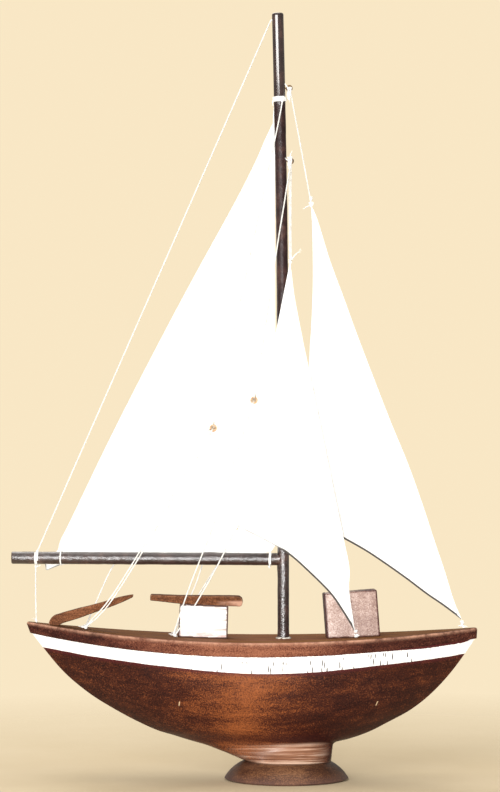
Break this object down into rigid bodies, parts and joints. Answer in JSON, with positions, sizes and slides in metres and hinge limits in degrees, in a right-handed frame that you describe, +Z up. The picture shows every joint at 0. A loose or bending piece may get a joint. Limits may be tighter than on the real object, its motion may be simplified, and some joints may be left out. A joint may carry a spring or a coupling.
{
  "type": "model sailboat",
  "caption": "Decorative wooden model sailboat on a turned foot, with cloth sails, black spars, string rigging and a white band round a carved double-ended hull.",
  "frame": {"origin": "centre of the turned foot's flat underside", "axes": "+X towards the bow, +Y to the boat's far side (port when looking forward), +Z up along the mast"},
  "size_m": [0.3712, 0.0986, 0.6103],
  "materials": {
    "hull_stain": "dark red-brown mottled stain under satin varnish, with a white painted band round the topsides",
    "deck_stain": "brown stain, rubbed lighter along the upper edge",
    "trim_stain": "brown stain, satin",
    "worn_stain": "thin pinkish brown stain, scuffed",
    "cabin_paint": "thin white paint over wood grain, worn",
    "spar_lacquer": "black-brown gloss lacquer",
    "sailcloth": "plain weave cotton, sized stiff",
    "string": "twisted cotton string",
    "brass": "tarnished brass",
    "steel": "zinc plated",
    "glue": "dried white wood glue"
  },
  "bodies": {
    "root": {"hull": "hull_stain", "foot": "hull_stain", "deck_board": "deck_stain", "roof_plank": "trim_stain", "tiller_stick": "trim_stain", "bow_block": "worn_stain", "cabin_block": "cabin_paint", "mast": "spar_lacquer", "staysail": "sailcloth", "jib": "sailcloth", "mast_whipping": "string", "deck_knots": "string", "stern_leash_knot": "string", "staysail_clew_knot": "string", "staysail_head_knot": "string", "jib_head_knot": "string", "staysail_tack_tie": "string", "jib_tack_tie": "string", "jib_clew_tie": "string", "staysail_halyard": "string", "staysail_sheet_near": "string", "jib_halyard": "string", "mast_screw_eyes": "brass", "foot_screws": "steel", "mast_glue": "glue"},
    "boom": {"boom": "spar_lacquer", "mainsail": "sailcloth", "sail_eyelets": "brass", "line_knots": "string", "boom_end_lashing": "string", "clew_lashing": "string", "tack_lashing": "string", "mainsail_head_tie": "string", "topping_lift": "string", "stern_leash": "string", "upper_line_aft": "string", "upper_line_fore": "string", "aft_leg_near": "string", "aft_leg_far": "string", "fore_leg_near": "string", "fore_leg_far": "string", "staysail_sheet_far": "string"}
  },
  "joints": [
    {"name": "boom_swing", "type": "hinge", "parent": "root", "child": "boom", "pos_m": [-0.00235, 0, 0.175], "axis": [0, 0, 1], "range_deg": [-2, 2], "deforming": ["topping_lift", "stern_leash", "upper_line_aft", "upper_line_fore", "aft_leg_near", "aft_leg_far", "fore_leg_near", "fore_leg_far", "staysail_sheet_far", "mainsail_head_tie"]}
  ]
}
